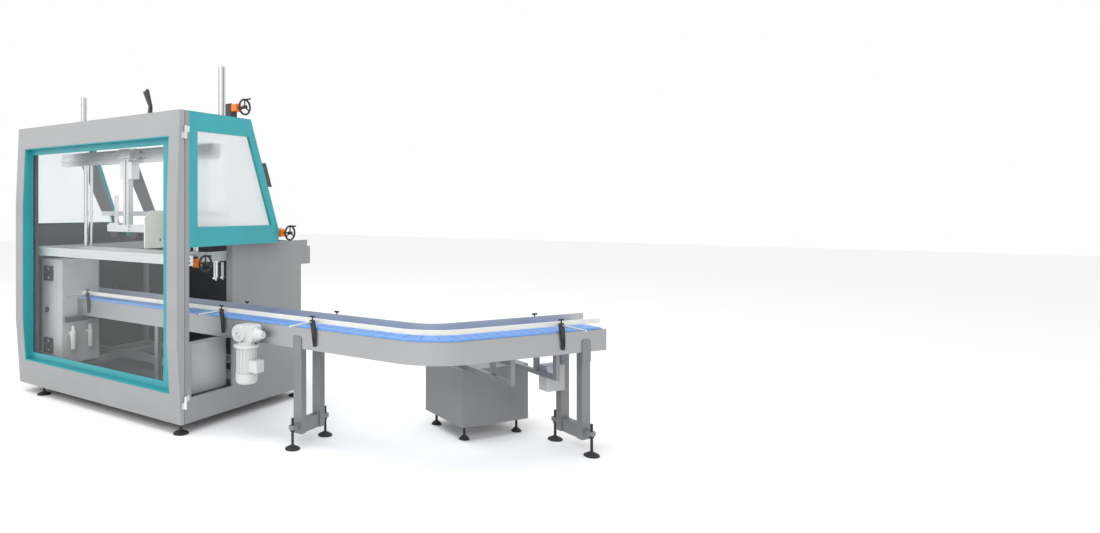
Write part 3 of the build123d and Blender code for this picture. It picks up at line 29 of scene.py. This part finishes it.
# Studio: camera, pale floor and soft lights
def make_camera():
    data = bpy.data.cameras.new("studio_camera")
    data.sensor_fit = "HORIZONTAL"
    data.sensor_width = 36
    data.lens = camera_lens
    data.shift_x, data.shift_y = camera_shift
    data.clip_end = 100
    camera = bpy.data.objects.new("studio_camera", data)
    camera.location = camera_place
    camera.rotation_euler = (radians(90), 0, radians(camera_turn))
    bpy.context.scene.collection.objects.link(camera)
    bpy.context.scene.camera = camera


def area_light(name, place, target, size, power, tint=(1, 1, 1)):
    data = bpy.data.lights.new(name, "AREA")
    data.shape = "RECTANGLE"
    data.size, data.size_y = size
    data.energy = power
    data.color = tint
    light = bpy.data.objects.new(name, data)
    light.location = place
    aim = Vector(target) - Vector(place)
    light.rotation_euler = aim.to_track_quat("-Z", "Y").to_euler()
    bpy.context.scene.collection.objects.link(light)


def make_world(brightness):
    world = bpy.data.worlds.new("studio_white")
    world.use_nodes = True
    background = world.node_tree.nodes["Background"]
    background.inputs["Color"].default_value = (1, 1, 1, 1)
    background.inputs["Strength"].default_value = brightness
    bpy.context.scene.world = world


def make_floor(finish):
    bm = bmesh.new()
    bmesh.ops.create_grid(bm, x_segments=1, y_segments=1, size=30)
    mesh = bpy.data.meshes.new("studio_floor")
    bm.to_mesh(mesh)
    bm.free()
    mesh.materials.append(finish)
    floor = bpy.data.objects.new("studio_floor", mesh)
    floor.location.z = -0.0005
    bpy.context.scene.collection.objects.link(floor)


# Materials
def principled(name, roughness, metallic=0.0):
    material = bpy.data.materials.new(name)
    material.use_nodes = True
    shader = material.node_tree.nodes["Principled BSDF"]
    shader.inputs["Roughness"].default_value = roughness
    shader.inputs["Metallic"].default_value = metallic
    return material, shader


def place_vector(material, stretch):
    tree = material.node_tree
    place = tree.nodes.new("ShaderNodeTexCoord")
    mapping = tree.nodes.new("ShaderNodeMapping")
    mapping.inputs["Scale"].default_value = stretch
    tree.links.new(place.outputs["Object"], mapping.inputs["Vector"])
    return mapping.outputs["Vector"]


def noise(material, scale, detail, stretch=(1, 1, 1)):
    node = material.node_tree.nodes.new("ShaderNodeTexNoise")
    node.inputs["Scale"].default_value = scale
    node.inputs["Detail"].default_value = detail
    material.node_tree.links.new(place_vector(material, stretch), node.inputs["Vector"])
    return node.outputs["Fac"]


def shades(material, value, low, high):
    """Colour between two shades that follows a value."""
    ramp = material.node_tree.nodes.new("ShaderNodeValToRGB")
    ramp.color_ramp.elements[0].position = 0.3
    ramp.color_ramp.elements[0].color = (*low, 1)
    ramp.color_ramp.elements[1].position = 0.7
    ramp.color_ramp.elements[1].color = (*high, 1)
    material.node_tree.links.new(value, ramp.inputs["Fac"])
    return ramp.outputs["Color"]


def spread(material, value, low, high):
    """Number between two limits that follows a value."""
    remap = material.node_tree.nodes.new("ShaderNodeMapRange")
    remap.inputs["From Min"].default_value = 0.3
    remap.inputs["From Max"].default_value = 0.7
    remap.inputs["To Min"].default_value = low
    remap.inputs["To Max"].default_value = high
    material.node_tree.links.new(value, remap.inputs["Value"])
    return remap.outputs["Result"]


def relief(material, shader, value, height):
    bump = material.node_tree.nodes.new("ShaderNodeBump")
    bump.inputs["Strength"].default_value = 1
    bump.inputs["Distance"].default_value = height
    material.node_tree.links.new(value, bump.inputs["Height"])
    material.node_tree.links.new(bump.outputs["Normal"], shader.inputs["Normal"])


def powder_coat(name, shade, roughness=0.42, change=0.04, metallic=0.0):
    """Sprayed paint with a fine orange peel and faint unevenness."""
    material, shader = principled(name, roughness, metallic)
    low = [channel * (1 - change) for channel in shade]
    high = [min(1, channel * (1 + change)) for channel in shade]
    clouds = noise(material, 3.5, 3)
    peel = noise(material, 900, 2)
    links = material.node_tree.links
    links.new(shades(material, clouds, low, high), shader.inputs["Base Color"])
    links.new(spread(material, clouds, roughness - 0.04, roughness + 0.06), shader.inputs["Roughness"])
    relief(material, shader, peel, 0.00004)
    return material


def painted_shade_wall(name, shade, painted_shade_colour, axis, border):
    """Wall paint with painted shade: darker on its inner side of a border along an axis, where the
    inside of the machine lies in shade.
    """
    material = powder_coat(name, shade)
    tree = material.node_tree
    shader = tree.nodes["Principled BSDF"]
    parts = tree.nodes.new("ShaderNodeSeparateXYZ")
    tree.links.new(place_vector(material, (1, 1, 1)), parts.inputs["Vector"])
    side = tree.nodes.new("ShaderNodeMath")
    side.operation = "GREATER_THAN"
    side.inputs[1].default_value = border
    tree.links.new(parts.outputs[axis], side.inputs[0])
    outside = shader.inputs["Base Color"].links[0].from_socket
    mix = tree.nodes.new("ShaderNodeMix")
    mix.data_type = "RGBA"
    # The shade input takes the painted shade colour on the inner side of the border; the paint input
    # keeps the grey paint outside.
    paint_in, shade_in = (7, 6) if axis == "Y" else (6, 7)
    mix.inputs[shade_in].default_value = (*painted_shade_colour, 1)
    tree.links.new(outside, mix.inputs[paint_in])
    tree.links.new(side.outputs["Value"], mix.inputs["Factor"])
    tree.links.new(mix.outputs[2], shader.inputs["Base Color"])
    return material


def brushed_metal(name, shade, stretch, roughness=0.3, change=0.08):
    """Metal with fine lines along one direction."""
    material, shader = principled(name, roughness, 1.0)
    low = [channel * (1 - change) for channel in shade]
    high = [min(1, channel * (1 + change)) for channel in shade]
    lines = noise(material, 260, 4, stretch)
    links = material.node_tree.links
    links.new(shades(material, lines, low, high), shader.inputs["Base Color"])
    links.new(spread(material, lines, roughness - 0.07, roughness + 0.1), shader.inputs["Roughness"])
    relief(material, shader, lines, 0.00003)
    return material


def moulded_plastic(name, shade, roughness=0.45, change=0.15, grain=1400):
    """Moulded plastic with a fine grain and small wear."""
    material, shader = principled(name, roughness)
    low = [channel * (1 - change) for channel in shade]
    high = [min(1, channel * (1 + change)) for channel in shade]
    wear = noise(material, 22, 5)
    links = material.node_tree.links
    links.new(shades(material, wear, low, high), shader.inputs["Base Color"])
    links.new(spread(material, wear, roughness - 0.06, roughness + 0.1), shader.inputs["Roughness"])
    relief(material, shader, noise(material, grain, 2), 0.00003)
    return material


def pane(name, tint, alpha, roughness, transmission):
    """See-through sheet with faint smears."""
    material, shader = principled(name, roughness)
    smears = noise(material, 6, 5)
    links = material.node_tree.links
    low = [channel * 0.97 for channel in tint]
    links.new(shades(material, smears, low, tint), shader.inputs["Base Color"])
    links.new(spread(material, smears, roughness, roughness + 0.03), shader.inputs["Roughness"])
    shader.inputs["Alpha"].default_value = alpha
    shader.inputs["Transmission Weight"].default_value = transmission
    shader.inputs["IOR"].default_value = 1.45
    return material


teal = powder_coat("teal_paint", (0.028, 0.30, 0.335), 0.38)
door_grey = powder_coat("door_grey_paint", (0.30, 0.305, 0.31), 0.46)
body_grey = powder_coat("body_grey_paint", (0.255, 0.26, 0.268), 0.46)
pale_grey = powder_coat("pale_grey_paint", (0.47, 0.475, 0.48), 0.48)
# Painted shade: near-black base colour on the inner faces of the rear and left walls, standing in for
# the shade inside the machine; the outer faces keep the grey paint.
inner_painted_shade = (0.045, 0.046, 0.05)
rear_wall_shaded_paint = painted_shade_wall("rear_wall_paint_with_painted_shade", (0.255, 0.26, 0.268), inner_painted_shade, "Y", 1.29)
left_wall_shaded_paint = painted_shade_wall("left_wall_paint_with_painted_shade", (0.255, 0.26, 0.268), inner_painted_shade, "X", -2.055)
wall_grey = powder_coat("magazine_grey_paint", (0.16, 0.163, 0.168), 0.5)
stand_grey = powder_coat("stand_grey_paint", (0.21, 0.215, 0.22), 0.42, metallic=0.3)
charcoal = powder_coat("charcoal_paint", (0.05, 0.051, 0.055), 0.5)
floor_white = powder_coat("studio_paper", (0.92, 0.92, 0.92), 0.9, 0.004)
side_steel = brushed_metal("side_plate_steel", (0.40, 0.405, 0.415), (1, 1, 40), 0.42)
slot_aluminium = brushed_metal("slotted_aluminium", (0.72, 0.73, 0.74), (0.6, 30, 30), 0.34)
post_aluminium = brushed_metal("post_aluminium", (0.66, 0.67, 0.68), (30, 30, 0.6), 0.34)
polished = brushed_metal("polished_rod", (0.78, 0.79, 0.80), (8, 8, 8), 0.14, 0.03)
zinc = brushed_metal("zinc_steel", (0.58, 0.59, 0.60), (3, 3, 3), 0.3)
brass = brushed_metal("brass_fitting", (0.62, 0.42, 0.17), (4, 4, 4), 0.3)
black = moulded_plastic("black_plastic", (0.018, 0.018, 0.02))
rubber = moulded_plastic("black_rubber", (0.02, 0.02, 0.021), 0.7)
orange = moulded_plastic("orange_plastic", (0.87, 0.20, 0.012), 0.3, 0.06)
chain_blue = moulded_plastic("chain_blue_plastic", (0.14, 0.33, 0.72), 0.32, 0.1)
rail_white = moulded_plastic("rail_cream_plastic", (0.70, 0.685, 0.62), 0.4, 0.04)
rail_grey = brushed_metal("rail_grey_steel", (0.50, 0.51, 0.53), (1, 1, 30), 0.4)
unit_grey = moulded_plastic("air_unit_plastic", (0.62, 0.62, 0.61), 0.4, 0.05)
motor_grey = powder_coat("motor_grey_paint", (0.56, 0.575, 0.57), 0.42)
clear = pane("clear_pane", (0.93, 0.97, 0.97), 0.035, 0.02, 0.0)
frosted = pane("frosted_pane", (0.80, 0.86, 0.87), 0.72, 0.28, 1.0)

finishes = {
    teal: ("hood_frames", "hood_rear_bar", "door_lining"),
    door_grey: ("door_stiles", "door_rails"),
    body_grey: ("frame_posts", "roof_panel", "base_frame", "right_cabinet", "lower_right_wall"),
    pale_grey: ("electrical_box", "mid_side_rails", "mid_cross_beam", "valve_panel"),
    wall_grey: ("magazine_plates",),
    rear_wall_shaded_paint: ("rear_wall",),
    left_wall_shaded_paint: ("left_wall",),
    charcoal: ("floor_tray", "gear_housings", "inner_covers"),
    side_steel: ("conveyor_front_plate", "conveyor_rear_plate", "conveyor_bed"),
    slot_aluminium: ("lower_beam", "upper_beam", "mast_carriage", "forming_head", "cross_bars"),
    post_aluminium: ("roof_posts", "forming_mast"),
    polished: (
        "guide_columns",
        "guide_cross_rods",
        "sloped_rod",
        "hinge_pins",
        "door_knuckles",
        "exit_cylinders",
    ),
    black: (
        "guide_brackets",
        "roof_handwheel",
        "rear_handwheel",
        "side_handwheel",
        "main_switch",
        "box_fans",
        "rod_bracket",
        "chain_wheels",
        "head_grippers",
    ),
    rubber: ("levelling_feet",),
    orange: ("position_indicators",),
    chain_blue: ("plate_chain",),
    rail_white: ("front_guide_rail", "head_side_plate"),
    rail_grey: ("rear_guide_rail",),
    motor_grey: ("gearbox", "drive_motor"),
    unit_grey: ("air_units",),
    stand_grey: ("conveyor_stands", "cabinet_bearers"),
    clear: ("door_pane",),
    frosted: ("hood_panes",),
}
cabinet_grey = powder_coat("floor_cabinet_grey_paint", (0.20, 0.203, 0.21), 0.4)
finishes[cabinet_grey] = ("floor_cabinet",)
finishes[pale_grey] += ("control_box",)

for finish, names in finishes.items():
    for name in names:
        for place in nodes[name].material_slots:
            place.material = finish

make_camera()
make_world(1.0)
make_floor(floor_white)
area_light("key_light", (4.5, -5.5, 5.5), (-0.5, 0, 1.0), (4, 4), 170)
area_light("left_light", (-6, -4, 4.5), (-1, 0, 1.2), (4, 4), 70)
area_light("top_light", (-0.5, -0.5, 6), (-0.5, 0.6, 0), (6, 4), 200)

bpy.context.scene.view_settings.view_transform = "Standard"
